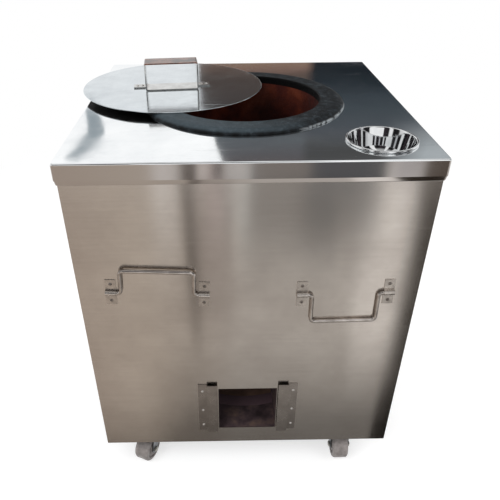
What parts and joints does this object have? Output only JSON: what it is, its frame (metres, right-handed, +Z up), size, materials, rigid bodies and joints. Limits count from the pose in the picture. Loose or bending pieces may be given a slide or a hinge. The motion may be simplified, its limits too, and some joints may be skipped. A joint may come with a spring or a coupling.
{
  "type": "clay tandoor oven",
  "caption": "Square steel cabinet on castors round a clay oven pot with a mouth on top, a loose round lid, a sunk dip bowl, folding side grips and a low ash opening.",
  "frame": {"origin": "on the floor, under the middle of the whole object's box, lid included", "axes": "+Z up, -Y the front with the ash opening, +X to the right of someone who faces the front"},
  "size_m": [0.79, 0.7696, 0.994],
  "materials": {
    "polished_top": "polished",
    "brushed_sheet": "satin",
    "primed_frame": "matte",
    "hearth_stone": "matte",
    "fired_clay": "matte",
    "cast_collar": "matte",
    "mineral_wool": "matte",
    "sooted_sheet": "matte",
    "folded_guide": "satin",
    "rivet_metal": "satin",
    "clamp_strap": "satin",
    "handle_rod": "polished",
    "polished_lid": "polished",
    "lid_strip": "satin",
    "polished_bowl": "polished",
    "zinc_plate": "satin",
    "zinc_hardware": "satin",
    "grey_nylon": "satin"
  },
  "bodies": {
    "cabinet": {"top_plate": "polished_top", "front_panel": "brushed_sheet", "back_panel": "brushed_sheet", "left_panel": "brushed_sheet", "right_panel": "brushed_sheet", "base_frame": "primed_frame", "castor_rails": "primed_frame", "corner_posts": "primed_frame", "top_frame": "primed_frame", "bottom_plate": "primed_frame", "hearth_slab": "hearth_stone", "clay_pot": "fired_clay", "mouth_collar": "cast_collar", "insulation": "mineral_wool", "ash_tunnel": "sooted_sheet", "left_shutter_guide": "folded_guide", "right_shutter_guide": "folded_guide", "guide_rivets": "rivet_metal", "left_handle_clamps": "clamp_strap", "right_handle_clamps": "clamp_strap", "clamp_rivets": "rivet_metal", "front_left_castor_plate": "zinc_plate", "front_right_castor_plate": "zinc_plate", "back_left_castor_plate": "zinc_plate", "back_right_castor_plate": "zinc_plate", "castor_bolts": "zinc_hardware", "castor_nuts": "zinc_hardware", "swivel_pins": "zinc_hardware", "swivel_washers": "zinc_hardware"},
    "lid_and_handle": {"lid": "polished_lid", "lid_handle": "lid_strip", "lid_rivets": "rivet_metal"},
    "bowl": {"dip_bowl": "polished_bowl"},
    "left_grip": {"left_carry_handle": "handle_rod"},
    "right_grip": {"right_carry_handle": "handle_rod"},
    "front_left_swivel": {"front_left_fork": "zinc_plate", "front_left_axle": "zinc_hardware", "front_left_axle_nut": "zinc_hardware", "front_left_bush": "zinc_hardware"},
    "front_right_swivel": {"front_right_fork": "zinc_plate", "front_right_axle": "zinc_hardware", "front_right_axle_nut": "zinc_hardware", "front_right_bush": "zinc_hardware"},
    "back_left_swivel": {"back_left_fork": "zinc_plate", "back_left_axle": "zinc_hardware", "back_left_axle_nut": "zinc_hardware", "back_left_bush": "zinc_hardware"},
    "back_right_swivel": {"back_right_fork": "zinc_plate", "back_right_axle": "zinc_hardware", "back_right_axle_nut": "zinc_hardware", "back_right_bush": "zinc_hardware"},
    "front_left_roller": {"front_left_wheel": "grey_nylon"},
    "front_right_roller": {"front_right_wheel": "grey_nylon"},
    "back_left_roller": {"back_left_wheel": "grey_nylon"},
    "back_right_roller": {"back_right_wheel": "grey_nylon"}
  },
  "joints": [
    {"name": "lid_lift", "type": "slide", "parent": "cabinet", "child": "lid_and_handle", "axis": [0, 0, 1], "range_m": [0, 0.3]},
    {"name": "bowl_lift", "type": "slide", "parent": "cabinet", "child": "bowl", "axis": [0, 0, 1], "range_m": [0, 0.15]},
    {"name": "left_handle_swing", "type": "hinge", "parent": "cabinet", "child": "left_grip", "pos_m": [-0.1865, -0.3798, 0.6055], "axis": [0.9989, 0, -0.0471], "range_deg": [-4, 176]},
    {"name": "right_handle_swing", "type": "hinge", "parent": "cabinet", "child": "right_grip", "pos_m": [0.228, -0.3798, 0.5995], "axis": [0.9998, 0, 0.0192], "range_deg": [-180, 0]},
    {"name": "front_left_castor_turn", "type": "hinge", "parent": "cabinet", "child": "front_left_swivel", "pos_m": [-0.251, -0.311, 0.09], "axis": [0, 0, 1], "continuous": true},
    {"name": "front_right_castor_turn", "type": "hinge", "parent": "cabinet", "child": "front_right_swivel", "pos_m": [0.279, -0.311, 0.09], "axis": [0, 0, 1], "continuous": true},
    {"name": "back_left_castor_turn", "type": "hinge", "parent": "cabinet", "child": "back_left_swivel", "pos_m": [-0.251, 0.311, 0.09], "axis": [0, 0, 1], "continuous": true},
    {"name": "back_right_castor_turn", "type": "hinge", "parent": "cabinet", "child": "back_right_swivel", "pos_m": [0.279, 0.311, 0.09], "axis": [0, 0, 1], "continuous": true},
    {"name": "front_left_wheel_roll", "type": "hinge", "parent": "front_left_swivel", "child": "front_left_roller", "pos_m": [-0.26283, -0.33638, 0.0375], "axis": [0.9063, -0.4226, 0], "continuous": true},
    {"name": "front_right_wheel_roll", "type": "hinge", "parent": "front_right_swivel", "child": "front_right_roller", "pos_m": [0.279, -0.339, 0.0375], "axis": [1, 0, 0], "continuous": true},
    {"name": "back_left_wheel_roll", "type": "hinge", "parent": "back_left_swivel", "child": "back_left_roller", "pos_m": [-0.24614, 0.28343, 0.0375], "axis": [0.9848, 0.1736, 0], "continuous": true},
    {"name": "back_right_wheel_roll", "type": "hinge", "parent": "back_right_swivel", "child": "back_right_roller", "pos_m": [0.2751, 0.28327, 0.0375], "axis": [0.9903, -0.1392, 0], "continuous": true}
  ]
}
